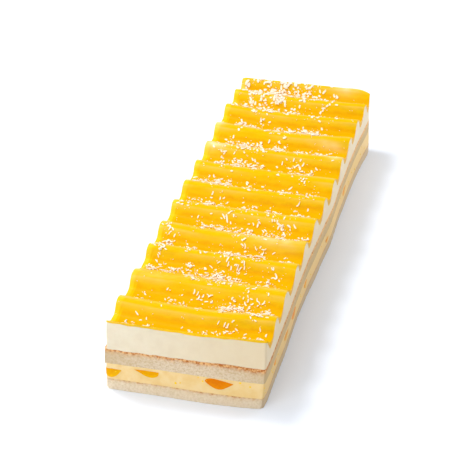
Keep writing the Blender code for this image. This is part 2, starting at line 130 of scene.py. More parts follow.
# The lemon rims of the two ends, and the painted glow of light through the jelly along the left cut:
# how far in they reach, and the left one's fade
END_RIM_WIDTH = 3.0 * MM
LEFT_GLOW_WIDTH = 5.2 * MM
LEFT_GLOW_FADE = 3.2 * MM
# Shares of a wave at which its shoulder and the far edge of its top lie, and how far the pale of cream
# showing through and of painted reflection reaches round that edge
SHOULDER_SHARE = 0.13
CREST_SHARE = 0.34
CREST_SPREAD = 0.06
# On the rise a pale wedge, thin jelly and painted highlight, grows from the first share up to the
# shoulder, and is gone after the second
WEDGE_START = 0.05
WEDGE_END = 0.015
# How much pale shows in the wedge and on the crest, cream through thin jelly with painted highlight and
# reflection, broken up by streaks, and how blotchy it is
WEDGE_CREAM_AND_HIGHLIGHT = 0.18
CREST_CREAM_AND_REFLECTION = 0.22
STREAK_LENGTH = 22.0 * MM
STREAK_THINNESS = 3.0
WEDGE_STREAKS = (0.6, 1.6)
CREST_STREAKS = (0.8, -1.2)
BLOTCH_SIZE = 5.0 * MM
BLOTCHINESS = 0.7
# The jelly's colour: how far it goes to amber in the pools and off the tops, to lemon at the end rims,
# and to lemon as a painted glow of light from the left along the left rim
POOL_AMBER = 0.6
SLOPE_AMBER = 0.12
END_LEMON = 0.2
LEFT_GLOW_LEMON = 0.3
# A top's colour comes in over the first share of a wave, past its shoulder, and is gone at the second
# past its far edge, after fading over the third
TOP_FADES = (0.03, 0.1, 0.04)
# Places where the cream shows through: across, distance from the front end, half width, half length,
# in millimetres, and how much
THIN_PATCHES = (
    (27, 118, 15, 4.5, 0.5),
    (34, 267, 11, 2.2, 0.35),
    (43, 246, 6, 5, 0.7),
    (-41, 242, 8, 4, 0.9),
    (30, 359, 8, 4, 0.6),
    (-47, 346, 3, 6, 0.8),
    (-47, 318, 3, 5, 0.8),
    (-46, 277, 4, 5, 0.9),
    (-34, 54, 16, 2.5, 0.12),
)

# Mango pieces as they show on the cut faces, in millimetres: face and place, middle, top edge, width,
# drop below the top edge, place of the deepest point (0 left to 1 right), bow of the top,
# place of the highest point, how blunt the left and the right end are (less is blunter); then ripeness.
# On the long sides the middle is measured from the front end.
MANGO_PIECES = (
    ("front_left", -43.9, 14.2, 11.8, 5.9, 0.45, 0.2, 0.5, 0.75, 0.8, 0.05),
    ("front_middle", -23.3, 15.8, 15.0, 4.1, 0.68, 0.3, 0.4, 0.7, 0.32, 0.12),
    ("front_right", 20.7, 15.1, 17.0, 4.6, 0.48, 2.2, 0.27, 0.9, 1.05, 0.66),
    ("right_1", 30.0, 15.2, 7.0, 3.0, 0.50, 0.4, 0.5, 0.65, 0.65, 0.3),
    ("right_2", 64.0, 14.2, 12.0, 3.2, 0.35, 0.8, 0.4, 0.5, 0.9, 0.2),
    ("right_3", 87.0, 15.4, 15.0, 4.8, 0.60, 1.4, 0.6, 0.8, 0.5, 0.4),
    ("right_4", 127.0, 14.8, 9.5, 3.6, 0.45, 0.9, 0.5, 0.65, 0.65, 0.15),
    ("right_5", 193.0, 12.2, 8.0, 2.8, 0.50, 0.5, 0.5, 0.5, 0.8, 0.3),
    ("right_6", 262.0, 15.0, 12.5, 4.2, 0.40, 1.0, 0.4, 0.5, 0.8, 0.2),
    ("left_1", 58.0, 15.4, 13.0, 4.4, 0.55, 0.9, 0.6, 0.9, 0.5, 0.15),
    ("left_2", 131.0, 13.6, 9.0, 3.4, 0.40, 0.5, 0.5, 0.5, 0.7, 0.5),
    ("left_3", 214.0, 15.8, 15.5, 4.6, 0.45, 0.8, 0.4, 0.45, 0.8, 0.2),
    ("left_4", 301.0, 13.0, 10.0, 3.6, 0.60, 0.6, 0.5, 0.65, 0.65, 0.6),
    ("back_1", 26.0, 15.2, 13.5, 4.6, 0.45, 1.0, 0.6, 0.65, 0.5, 0.2),
    ("back_2", -17.0, 13.4, 9.5, 3.4, 0.55, 0.4, 0.5, 0.65, 0.65, 0.6),
)
MANGO_DEPTH = 6.5 * MM
SLICE_STEPS = 22
SLICE_PROUD = 0.16 * MM
# The share of that height which is gone at a slice's outline, and the outline's bumps on a circle of radius 1
RIM_SINKS = 0.7
OUTLINE_BUMPS = 0.07
OUTLINE_BUMP_SIZE = 0.9
# Rings of a slice: shares of its size on the cut face, then share of its depth and of its size behind it
SLICE_FACE_RINGS = (0.3, 0.6, 0.82, 0.94, 1.0)
SLICE_BODY_RINGS = ((0.06, 0.99), (0.3, 0.95), (0.62, 0.86), (0.85, 0.6))
# How much riper a slice looks at its top and at its left end than in its middle
RIPER_ABOVE = 0.18
RIPER_AT_LEFT = 0.1

# Crumb and cream on the cuts: how large and deep their unevenness is
CRUMB_SIZE = 1.0 * MM
CRUMB_DEPTH = 0.08 * MM
HOLE_SIZE = 1.7 * MM
HOLE_DEPTH = 0.2 * MM
HOLE_START = 0.2
HOLE_FADE = 0.35
DRAG_SIZE = 2.6 * MM
DRAG_DEPTH = 0.08 * MM
DRAG_STRETCH = (1.0, 1.0, 0.4)
# Points further out than this share of the width lie on a side cut
ON_SIDE_CUT = 0.499

# How much further down the brown of the upper sponge's skin reaches at the right, in millimetres
BROWNER_AT_RIGHT = 1.0
# How much darker the skin is at the right, how much darker on the right cut near the front, as painted
# shade, and how much paler on the rest of that cut, as painted light: amounts taken off the noise that
# colours the skin
DARKER_AT_RIGHT = 0.08
CUT_SHADE_NEAR_FRONT = 0.16
CUT_LIGHT_PALER = 0.064
# Shares of a deeper tone, painted shade where less light falls, that the layers take towards the right;
# the upper sponge takes it to both sides, a warmer soaked crumb at the left and painted shade at the right
BASE_SHADE_TO_RIGHT = 0.25
FILLING_SHADE_TO_RIGHT = 0.4
UPPER_SOAK_AND_SHADE_SIDES = 0.6
CREAM_SHADE_TO_RIGHT = 0.75
# The cream's share of painted shade on the right cut, which lies in shade, at the back end, and how much
# more at the front
CREAM_SHADE_ON_CUT = 0.55
MORE_CREAM_SHADE_AT_FRONT = 0.3
# How much the jelly's clouds of pulp and the mango's fibres show in their colour
PULP_CLOUDS = 0.8
FIBRE_SHOWING = 0.5
# How much fruit bends light
FRUIT_IOR = 1.37

# Specks of pulp: face, place over it, height, size across, in millimetres
FRONT_SPECKS = (("front", -5.5, 10.6, 1.7), ("front", 33.0, 16.6, 1.4), ("front", 8.0, 16.8, 0.9))
# More of them: face, reach, number
SPECK_COUNTS = (("front", 44, 5), ("back", 44, 9), ("right", 355, 26), ("left", 355, 26))
SPECK_SEED = 5
SPECK_SIDES = 10
SPECK_HEIGHTS = (9.5, 16.5)
SPECK_ACROSS = (0.5, 1.4)
# Rings of a speck: its size and its depth behind the cut, as shares of its radius. What lies before the
# cut stands out by SPECK_PROUD more.
SPECK_RINGS = ((0.6, -0.12), (1.0, 0.1), (0.7, 0.7))
SPECK_TIP = 0.2
SPECK_PROUD = 0.12 * MM
SPECK_RIPENESS = 0.6

# Coconut, by the wave before whose steep face a drift lies: from and to across, farthest and nearest
# before the face's foot (less than 0 is up the face), in millimetres, and number of shreds
COCONUT_DRIFTS = (
    ((-41, -31, 10, 7, 5), (-29, -22, 9, 5, 8), (-37, -16, 2, -6, 4), (-6, 18, 8, 2, 18), (17, 29, 4, -2, 9),
     (29, 37, 9, 5, 8), (39, 46, 10, 7, 10), (28, 44, -3, -9, 8)),
    ((-42, -28, 6, 0, 4), (-25, -6, 8, 4, 14), (-12, 12, 3, -3, 12), (9, 22, 8, 5, 32), (13, 30, 1, -4, 9),
     (19, 26, 8, 4, 12), (27, 40, 2, -3, 14), (34, 45, 9, 4, 26), (22, 40, -5, -9, 5)),
    ((-45, -34, 12, 8, 24), (-31, -22, 11, 7, 18), (-23, -9, 5, 0, 9), (-18, -10, 11, 7, 14),
     (-4, 2, 6, -2, 12), (-14, 20, 13, 8, 62), (5, 18, 2, -4, 9), (23, 39, 10, 6, 16), (28, 42, 3, -3, 7),
     (-20, 24, 29, 24, 20), (5, 24, -2, -6, 6)),
    ((-47, -41, 11, 7, 14), (-43, -34, 7, 1, 20), (-42, -36, 27, 20, 8), (-27, -19, 8, 4, 12),
     (-25, -18, 20, 14, 3), (-17, -8, 10, 6, 8), (-9, 18, 10, 4, 58), (0, 18, 0, -5, 8), (17, 27, 8, 0, 18),
     (30, 46, 11, 7, 13)),
    ((-47, -38, 30, 22, 6), (-28, -16, 9, 4, 16), (-16, -5, 10, 4, 16), (-10, 3, 14, 9, 14),
     (0, 14, 10, 3, 20), (14, 26, 8, 4, 15), (22, 36, 5, -2, 18), (38, 46, 8, 4, 9), (-18, 45, -3, -9, 6)),
    ((-42, -30, 5, 1, 7), (-46, -30, 27, 20, 7), (-30, -21, 10, 4, 24), (-24, -12, 6, -3, 7),
     (-18, -2, 30, 24, 5), (-6, 4, 10, 6, 8), (-5, 10, 5, 1, 4), (8, 24, 10, 6, 14), (14, 26, 30, 24, 5),
     (26, 44, 12, 8, 16), (28, 44, -2, -6, 6)),
    ((-45, -37, 12, 8, 10), (-38, -32, 8, 3, 10), (-32, -25, 8, 2, 22), (-25, -18, 9, 1, 18),
     (-18, 8, 6, 0, 9), (8, 28, 9, 4, 28), (24, 34, -2, -6, 7), (28, 42, 7, 1, 12)),
    ((-37, -31, 8, -9, 22), (-27, -15, 7, 0, 32), (-30, -26, 26, 20, 5), (-28, -10, -5, -11, 20),
     (-9, -4, -5, -9, 5), (-14, 0, 9, 4, 18), (1, 8, 24, 20, 3), (10, 24, 3, -3, 12), (18, 34, 10, 6, 9),
     (28, 36, 5, -2, 6), (22, 38, -8, -12, 4)),
    ((-40, -27, 6, -2, 12), (-28, -16, 9, 4, 24), (-18, -2, 9, 5, 18), (-2, 8, 8, 0, 22), (9, 22, 9, 5, 16),
     (22, 42, 10, 5, 8), (-14, 14, -8, -12, 9)),
    ((-39, -28, 9, 4, 12), (-33, -17, 12, 7, 24), (-26, -16, 3, -2, 5), (-12, 0, 9, 3, 12), (-1, 6, 8, 3, 10),
     (6, 20, 9, 3, 34), (18, 25, 6, 0, 12), (19, 29, 24, 17, 16), (-14, -8, 25, 20, 4)),
    ((-47, -40, 8, 3, 8), (-39, -31, 6, -3, 16), (-29, -22, 4, -4, 16), (-20, -8, -1, -6, 28),
     (-22, -11, 11, 6, 24), (-8, 4, 8, 3, 16), (0, 8, -4, -9, 8), (8, 24, 11, 6, 18), (17, 23, 2, -4, 7),
     (30, 35, 8, 5, 4), (-30, -24, 26, 20, 6)),
    ((-46, -41, 4, -1, 8), (-42, -22, -2, -7, 26), (-36, -28, 11, 6, 16), (-28, -18, 8, 2, 30),
     (-20, -9, 7, -4, 50), (-9, -2, 4, -3, 16), (-1, 7, 3, -4, 16), (8, 20, 7, 3, 12), (22, 27, 3, -1, 4)),
)
COCONUT_SEED = 11
COCONUT_MARGIN = 0.7 * MM
ABOVE_CAKE = 100.0 * MM
# Drifts are thickest in their middle, and a share of the shreds strays by up to so many millimetres
STRAY_SHARE = 0.4
STRAY_ACROSS = 9.0
STRAY_ALONG = 8.0
# A share of the shreds of a trough's drifts lies on the crest before it, this far before the face's foot
ON_CREST_SHARE = 0.24
BITS_ON_CREST_SHARE = 0.08
CREST_REACH = (15.6, 22.0)
# They lie closer together there than in the trough
CREST_GATHERING = 0.7
# A shred's shortest, longest and commonest length, and its width and thickness, in millimetres
SHRED_LENGTH = (1.2, 3.0, 1.9)
SHRED_WIDTH = (0.6, 0.9)
SHRED_THICKNESS = (0.3, 0.48)
# How much of its size goes into its width; its bow as a share of its length, its curl in millimetres,
# its twist in radians, how little it sags, and how far its middle lies above the glaze in thicknesses
WIDTH_GROWTH = 0.4
SHRED_BOW = (-0.2, 0.2)
SHRED_CURL = (-0.05, 0.2)
SHRED_TWIST = (-0.7, 0.7)
STIFFNESS = 0.25
SHRED_LIFT = 0.3
# The share of large shreds, and the sizes of these and of the others as shares of the lengths above
LARGE_SHARE = 0.06
LARGE_SIZE = (1.15, 1.4)
SMALL_SIZE = (0.65, 1.1)
# How much coarser the coconut is at the last wave, and factors on the numbers of shreds, from the first
# wave to the last
COARSER_AT_BACK = 0.95
MORE_AT_FRONT = 1.12
MORE_AT_BACK = 1.22
# Sections of a shred: share of its length from the middle, share of its width
SHRED_SECTIONS = ((-0.5, 0.55), (-0.27, 0.95), (0.02, 1.0), (0.28, 0.9), (0.5, 0.5))
# Crumbs of coconut: how many for each shred, how many more at the last wave, size in millimetres,
# height and unevenness as shares of that, and how many lie all over the top
BITS_FOR_EACH_SHRED = 0.5
MORE_BITS_AT_BACK = 1.2
BIT_SIZE = (0.4, 0.95)
BIT_LIFT = 0.4
BIT_UNEVENNESS = 0.35
BITS_ALL_OVER = 380
# How many places are tried for each shred, and the least upward lean of a surface that holds one
MOST_TRIES = 8
STEEPEST = 0.15
# Cells in which the height of the piled coconut is kept, the most it can be, and how closely it packs
PILE_CELL = 1.2 * MM
PILE_LIMIT = 0.8 * MM
PACKING = 0.8

# Studio, in metres and watts: name, place, target, width, height, power
SOFTBOXES = (
    ("key_left", (-0.56, 0.16, 1.22), (0.0, 0.0, 0.02), 0.32, 0.32, 6.2),
    ("overhead", (0.0, 0.1, 1.3), (0.0, 0.0, 0.02), 1.5, 1.2, 3.9),
    ("front_fill", (-0.3, -1.25, 0.95), (0.0, -0.1, 0.02), 1.3, 0.9, 11.7),
    ("right_fill", (0.6, 0.75, 0.32), (0.0, 0.16, 0.02), 0.5, 0.4, 4.4),
    ("left_fill", (-1.0, 0.1, 1.2), (0.0, 0.0, 0.02), 1.0, 0.8, 8.3),
)
WORLD_STRENGTH = 0.37
FLOOR_HALF = 4.0
FLOOR_DROP = 0.0001

# How finely the meshes are made
ACROSS_STEPS = 150
WAVE_STEPS = 40
BACK_STEPS = 12
NEAREST_STATION = 0.5 * MM
# The stations of a wave gather round this share of it, by this much
STEEP_PLACE = 0.12
STEEP_GATHERING = 0.055
ROW_HEIGHT = 0.62 * MM

# The camera, from the picture's perspective
CAMERA_PLACE = (0.22054, -1.07031, 0.61187)
CAMERA_TURN = 12.161
CAMERA_TILT = 61.249
CAMERA_ROLL = 1.707
CAMERA_LENS = 141.34
SENSOR_WIDTH = 36.0
CAMERA_NEAR = 0.01


# Small helpers

def clamped(value):
    return np.clip(value, 0.0, 1.0)


def eased(value):
    value = clamped(value)
    return value * value * (3.0 - 2.0 * value)


def hump(place, middle, spread):
    """A smooth rise to 1 round a place."""
    return np.exp(-(((place - middle) / spread) ** 2))


def wander(a, b, size, seed):
    """Slow unevenness between about -1 and 1, the same as in the solids."""
    a, b = np.broadcast_arrays(np.asarray(a) / size, np.asarray(b) / size)
    values = [noise.noise((p, q, seed * WANDER_SEED_STEP)) for p, q in zip(a.ravel(), b.ravel())]
    return np.array(values).reshape(a.shape)


def rough(points, size, seed):
    """Unevenness between about -1 and 1 in space, for relief."""
    shifted = (points / size + seed * ROUGH_SEED_STEP).reshape(-1, 3).tolist()
    return np.array([noise.noise(point) for point in shifted]).reshape(points.shape[:-1])


def xyz(x, y, z):
    """Points from their coordinates."""
    return np.stack(np.broadcast_arrays(x, y, z), axis=-1)


def larger_of(a, b, blend):
    """The larger of two heights, with a soft corner where they meet."""
    near = clamped(1.0 - np.abs(a - b) / blend)
    return np.maximum(a, b) + 0.25 * blend * near ** 2


# The grid that every layer is made on: lines across the cake, stations along it that follow the waves

def rise_places(across):
    """Distance from the front end to the foot of each wave's steep face, one row for each line."""
    place = across / (WIDTH / 2)
    rows = []
    drifts = zip(range(-1, WAVE_COUNT), RISE_DRIFT_LEFT, RISE_DRIFT_MIDDLE, RISE_DRIFT_RIGHT)
    for wave, left, middle, right in drifts:
        drift = middle + (right - left) / 2 * place + ((left + right) / 2 - middle) * place ** 2
        bend = RIDGE_WANDER * wander(across, wave * WAVE_PITCH, RIDGE_WANDER_SIZE, seed=1)
        rows.append(FIRST_RISE + wave * WAVE_PITCH + drift * MM + bend)
    rows.append(rows[-1] + WAVE_PITCH)
    return np.array(rows)


def wave_shares():
    """Shares of a wave at which it is sampled, closest on its steep face."""
    even = np.arange(WAVE_STEPS) / WAVE_STEPS
    gathered = even - STEEP_GATHERING * np.sin(2.0 * math.pi * (even - STEEP_PLACE))
    return gathered - STEEP_GATHERING * math.sin(2.0 * math.pi * STEEP_PLACE)


ACROSS = np.linspace(-WIDTH / 2, WIDTH / 2, ACROSS_STEPS + 1)
RISES = rise_places(ACROSS)


def stations():
    """Distance from the front end of every point of the grid."""
    shares = wave_shares()
    lines = [np.zeros_like(ACROSS)]
    for wave in range(WAVE_COUNT):
        start, pitch = RISES[wave], RISES[wave + 1] - RISES[wave]
        for share in shares:
            line = start + pitch * share
            if wave > 0 or line.min() > NEAREST_STATION:
                lines.append(line)
    last = RISES[WAVE_COUNT]
    for share in np.linspace(0.0, 1.0, BACK_STEPS):
        lines.append(last + (LENGTH - last) * share)
    return np.array(lines).T


ALONG = stations()
X = np.repeat(ACROSS[:, None], ALONG.shape[1], axis=1)
LAST_LINE, LAST_STATION = ALONG.shape[0] - 1, ALONG.shape[1] - 1


def comb_outline(along):
    """Height of the combed cream before it is rounded and made uneven."""
    heights = np.empty_like(along)
    marks = np.arange(-1, WAVE_COUNT + 1)
    for i in range(len(along)):
        phase = np.interp(along[i], RISES[:, i], marks)
        heights[i] = np.interp(phase % 1.0, OUTLINE_SHARES, OUTLINE_HEIGHTS)
    return heights


def rounded_outline(along):
    return sum(comb_outline(along + WAVE_ROUNDING * step) for step in ROUNDING_STEPS) / len(ROUNDING_STEPS)


def outside_cream(distance):
    """A surface a set distance outside the cream, measured square to its slope."""
    best = np.zeros_like(ALONG)
    for angle in COAT_ANGLES:
        raised = rounded_outline(ALONG + distance * math.sin(angle)) + distance * math.cos(angle)
        best = np.maximum(best, raised)
    return best + RIDGE_SWELL


def ridge_swell():
    """Slow rise and fall along the ridges, and the drop of the back right corner."""
    near_corner = hump(X, WIDTH / 2, BACK_CORNER_SPREAD) * hump(ALONG, LENGTH, BACK_CORNER_SPREAD)
    slow = RIDGE_HEIGHT_WANDER * wander(ALONG, X, RIDGE_HEIGHT_WANDER_SIZE, seed=2)
    return slow - BACK_CORNER_DROP * near_corner


RIDGE_SWELL = ridge_swell()
CREAM_TOP = rounded_outline(ALONG) + RIDGE_SWELL
GLAZE_UNDER = outside_cream(GLAZE_GAP)


def glaze_top():
    coat = outside_cream(GLAZE_GAP + GLAZE_COAT)
    rim = eased((np.abs(X) - (WIDTH / 2 - GLAZE_EDGE_WIDTH)) / GLAZE_EDGE_WIDTH)
    return larger_of(coat, POOL_LEVEL + RIDGE_SWELL, POOL_BLEND) - GLAZE_EDGE_DROP * rim


GLAZE_TOP = glaze_top()


def layer_top(height, seed, craggy):
    """An uneven top: slow swells, and crags as a share of the most craggy top's."""
    slow = LAYER_WANDER * wander(ALONG, X, LAYER_WANDER_SIZE, seed)
    return height + slow + craggy * CRAGGINESS * wander(ALONG, X, CRAG_SIZE, seed + CRAG_SEEDS)


BASE_TOP = layer_top(BASE_SPONGE_TOP, seed=11, craggy=0.3)
FILLING_TOP = layer_top(FRUIT_CREAM_TOP, seed=12, craggy=0.4)
SPONGE_TOP = layer_top(UPPER_SPONGE_TOP, seed=13, craggy=1.0)
SPONGE_TOP += SPONGE_RISE * hump(X, SPONGE_RISE_MIDDLE, SPONGE_RISE_SPREAD) * hump(ALONG, 0.0, CUT_ZONE)


# The knife cuts

def swelling(along, swells):
    return sum(out * MM * hump(along, place * MM, spread * MM) for out, place, spread in swells)


def cut_wander(a, height, seed):
    return CUT_WANDER * wander(a, height * 2.0, CUT_WANDER_SIZE, seed)


def long_cut(along, height, swells, foot_swells, seed):
    """How far out a long cut stands."""
    low = clamped(1.0 - height / LEAN_HEIGHT)
    return swelling(along, swells) + low * swelling(along, foot_swells) + cut_wander(along, height, seed)


def corner_rounding(x, y, z):
    """How far points near the upright corners move in, so that each corner becomes a quarter circle."""
    foot = eased(1.0 - z / CORNER_FOOT_HEIGHT)
    radius = CORNER_RADIUS + (CORNER_FOOT_RADIUS - CORNER_RADIUS) * foot
    over = np.maximum(radius - (WIDTH / 2 - np.abs(x)), 0.0)
    onward = np.maximum(radius - (LENGTH / 2 - np.abs(y)), 0.0)
    shrink = 1.0 - np.maximum(over, onward) / np.maximum(np.hypot(over, onward), 1e-9)
    return -np.sign(x) * over * shrink, -np.sign(y) * onward * shrink


def as_cut(points):
    """Moves points of a straight block to where the uneven cuts put them."""
    x, y, z = points[..., 0], points[..., 1], points[..., 2]
    round_x, round_y = corner_rounding(x, y, z)
    side = np.where(x > 0, 1.0, -1.0)
    along = y + LENGTH / 2
    near_side = clamped((np.abs(x) - (WIDTH / 2 - CUT_ZONE)) / CUT_ZONE)
    near_front = clamped((CUT_ZONE - along) / CUT_ZONE)
    near_back = clamped((y - (LENGTH / 2 - CUT_ZONE)) / CUT_ZONE)
    lean = clamped(1.0 - z / LEAN_HEIGHT)
    right = long_cut(along, z, RIGHT_SWELLS, RIGHT_FOOT_SWELLS, seed=5)
    left = long_cut(along, z, LEFT_SWELLS, LEFT_FOOT_SWELLS, seed=3)
    outward = near_side * np.where(side > 0, right, left)
    across_share = x / (WIDTH / 2)
    foot = FRONT_FOOT_BULGE * lean * hump(x, FRONT_FOOT_MIDDLE, FRONT_FOOT_SPREAD)
    forward = FRONT_SKEW * (1.0 - across_share) + foot + cut_wander(x, z, seed=8)
    backward = BACK_SKEW * (across_share - 1.0) + cut_wander(x, z, seed=9)
    corner_foot = clamped(1.0 - z / CORNER_FOOT_HEIGHT)
    corner = CORNER_PULL * (CORNER_TOP_SHARE + (1.0 - CORNER_TOP_SHARE) * corner_foot)
    corner = corner + np.where((x > 0) & (y > 0), BACK_CORNER_PULL * clamped(z / LEAN_HEIGHT), 0.0)
    corner = corner * (near_side * np.maximum(near_front, near_back)) ** 2
    cut_x = x + round_x + side * (outward - corner)
    cut_y = y + round_y + near_front * (corner - forward) + near_back * (backward - corner)
    return xyz(cut_x, cut_y, z)


# Materials

def linear(code):
    """An sRGB hex value as the linear colour that shaders take."""
    channels = [int(code[k:k + 2], 16) / 255.0 for k in (1, 3, 5)]
    return [c / 12.92 if c <= 0.04045 else ((c + 0.055) / 1.055) ** 2.4 for c in channels] + [1.0]


def put_values(node, values):
    """Sets inputs of a node by name. A hex value is turned linear."""
    for name, value in values.items():
        node.inputs[name].default_value = linear(value) if isinstance(value, str) else value


def put_links(tree, node, links):
    for name, socket in links.items():
        tree.links.new(socket, node.inputs[name])


def add(tree, kind, output, settings=None, values=None, links=None, stops=()):
    """Adds one shader node to a material, sets it up, links its inputs and returns one of its outputs.
    stops are those of a colour ramp, as pairs of place and hex value."""
    made = tree.nodes.new("ShaderNode" + kind)
    for name, value in (settings or {}).items():
        setattr(made, name, value)
    put_values(made, values or {})
    put_links(tree, made, links or {})
    if stops:
        elements = made.color_ramp.elements
        while len(elements) < len(stops):
            elements.new(0.5)
        for element, (place, code) in zip(elements, stops):
            element.position = place
            element.color = linear(code)
    return made.outputs[output]


def per_mm(size):
    """The scale of a noise whose features measure a number of millimetres."""
    return 1.0 / (size * MM)


def new_finish(name, patterns, numbers=()):
    """Makes a material with its noises, each from the size of its features in millimetres, its detail and
    its roughness, and with the numbers of points that it reads, by name."""
    material = bpy.data.materials.new(name)
    material.use_nodes = True
    tree = material.node_tree
    place = add(tree, "TexCoord", "Object")
    noises = [add(tree, "TexNoise", "Fac", links={"Vector": place},
                  values={"Scale": per_mm(size), "Detail": detail, "Roughness": roughness})
              for size, detail, roughness in patterns]
    read = [add(tree, "Attribute", "Fac", {"attribute_name": number}) for number in numbers]
    return material, tree, *noises, *read


def joined(material, colour, relief, roughness, gloss, glow, spread, reach, ior=1.5):
    """Joins a food's colour and fine relief to its shader and returns the material. relief is a noise, its
    strength and its depth in millimetres. glow is the share of light that gets into the food, and it comes
    out up to reach millimetres away."""
    tree = material.node_tree
    shader = tree.nodes["Principled BSDF"]
    links = {"Base Color": colour}
    if relief:
        height, strength, depth = relief
        links["Normal"] = add(tree, "Bump", "Normal", links={"Height": height},
                              values={"Strength": strength, "Distance": depth * MM})
    put_links(tree, shader, links)
    put_values(shader, {"Roughness": roughness, "IOR": ior, "Specular IOR Level": gloss,
                        "Subsurface Weight": glow, "Subsurface Radius": spread,
                        "Subsurface Scale": reach * MM})
    return material


def mango_jelly():
    """Fruit jelly poured over white cream and left to set: wet gloss, lemon yellow where it is thin,
    amber where it pools, pale where the cream shows through it, with painted highlights on the shoulders,
    painted reflections along the crests and a painted glow of light along the left rim."""
    material, tree, pulp, ripple, depth, thin = new_finish(
        "mango_jelly", ((8.0, 5.0, 0.6), (3.0, 2.0, 0.5)), ("jelly_tone_and_lit_rim", "cream_and_highlights"))
    shade = add(tree, "Math", "Value", {"operation": "MULTIPLY_ADD"}, {1: PULP_CLOUDS},
                {0: pulp, 2: depth})
    jelly = add(tree, "ValToRGB", "Color", links={"Fac": shade},
                stops=((0.1, "#F8C31A"), (0.3, "#E1B400"), (0.45, "#DEB000"), (0.75, "#E5B700"),
                       (1.0, "#DFA500")))
    # Paled by the cream showing through, and by painted highlights and reflections on shoulders and crests
    pale = add(tree, "Mix", "Result", {"data_type": "RGBA"}, {"B": "#F0D79C"},
               {"Factor": thin, "A": jelly})
    return joined(material, pale, (ripple, 0.3, 0.3), roughness=0.34, gloss=0.05,
                  glow=0.12, spread=(1.0, 0.6, 0.05), reach=1.0, ior=FRUIT_IOR)


def whipped_cream():
    """Whipped cream set with gelatine and cut with a warm knife: ivory, close, with fine pores,
    and of a deeper tone towards its right side and on its right cut, as painted shade."""
    material, tree, smear, pores, deeper = new_finish(
        "whipped_cream", ((9.0, 5.0, 0.6), (1.1, 3.0, 0.5)), ["deeper_tone_and_shade"])
    ivory = add(tree, "ValToRGB", "Color", links={"Fac": smear},
                stops=((0.3, "#E1D2B6"), (0.52, "#E7DABF"), (0.75, "#EBE0C7")))
    # Painted shade: a deeper cream colour towards the right and on the right cut, where less light falls
    shaded_cream = add(tree, "Mix", "Result", {"data_type": "RGBA"}, {"B": "#DCC7A1"},
                  {"Factor": deeper, "A": ivory})
    return joined(material, shaded_cream, (pores, 0.22, 0.25), roughness=0.6, gloss=0.3,
                  glow=0.2, spread=(1.0, 0.7, 0.4), reach=1.5)


def almond_sponge(name, crumb_codes, soak_and_shade_code, crust_codes, crust_depth, crust_reach, fading):
    """Baked almond sponge: matt fine crumb, of a deeper tone towards its right side and on its right cut as
    painted shade, the upper one also warmer at its left where the crumb is soaked, and the browned skin of
    its top, a ragged spotted line that soaks down into the crumb, with painted shade on the right cut near
    the front and painted light further back. The depth and reach of the skin are in millimetres, and
    fading is the share of its brown that is left one millimetre further down."""
    material, tree, speckle, ragged, spots, grain, deeper, below, darker_skin_and_shade = new_finish(
        name, ((1.2, 4.0, 0.6), (2.8, 4.0, 0.65), (1.8, 3.0, 0.6), (0.8, 4.0, 0.7)),
        ("deeper_tone_and_shade", "below_top", "skin_darker_and_cut_shade"))
    crumb = add(tree, "ValToRGB", "Color", links={"Fac": speckle},
                stops=tuple(zip((0.34, 0.48, 0.62), crumb_codes)))
    # Painted shade towards the right and on the right cut; the upper sponge is also warmer at its soaked left
    crumb_and_shade = add(tree, "Mix", "Result", {"data_type": "RGBA"}, {"B": soak_and_shade_code},
                 {"Factor": deeper, "A": crumb})
    edge = add(tree, "Math", "Value", {"operation": "MULTIPLY_ADD"}, {1: -crust_reach},
               {0: ragged, 2: below})
    past_edge = add(tree, "Math", "Value", {"operation": "SUBTRACT"},
                    {1: crust_depth - 0.5 * crust_reach}, {0: edge})
    browned = add(tree, "Math", "Value", {"operation": "POWER", "use_clamp": True}, {0: fading},
                  {1: past_edge})
    # The skin's colour noise, less its darkening at the right and the painted shade and light on the right
    # cut
    baked = add(tree, "Math", "Value", {"operation": "SUBTRACT"}, links={0: spots, 1: darker_skin_and_shade})
    crust = add(tree, "ValToRGB", "Color", links={"Fac": baked},
                stops=tuple(zip((0.38, 0.57), crust_codes)))
    baked_sponge = add(tree, "Mix", "Result", {"data_type": "RGBA"},
                       links={"Factor": browned, "A": crumb_and_shade, "B": crust})
    return joined(material, baked_sponge, (grain, 0.25, 0.25), roughness=0.85, gloss=0.25,
                  glow=0.12, spread=(1.0, 0.6, 0.3), reach=1.0)


def passion_fruit_cream():
    """Passion fruit cream: smooth, moist, pale egg yellow, a little deeper in places, and deeper towards
    the right and on the right cut as painted shade.
    """
    material, tree, cloud, deeper = new_finish("passion_fruit_cream", [(6.0, 4.0, 0.5)], ["deeper_tone_and_shade"])
    yellow = add(tree, "ValToRGB", "Color", links={"Fac": cloud},
                 stops=((0.32, "#EAC581"), (0.5, "#EECF91"), (0.7, "#F0D6A0")))
    # Painted shade: a deeper egg yellow towards the right and on the right cut
    shaded_filling = add(tree, "Mix", "Result", {"data_type": "RGBA"}, {"B": "#E4C079"},
               {"Factor": deeper, "A": yellow})
    return joined(material, shaded_filling, (cloud, 0.2, 0.3), roughness=0.5, gloss=0.35,
                  glow=0.2, spread=(1.0, 0.7, 0.3), reach=1.2)


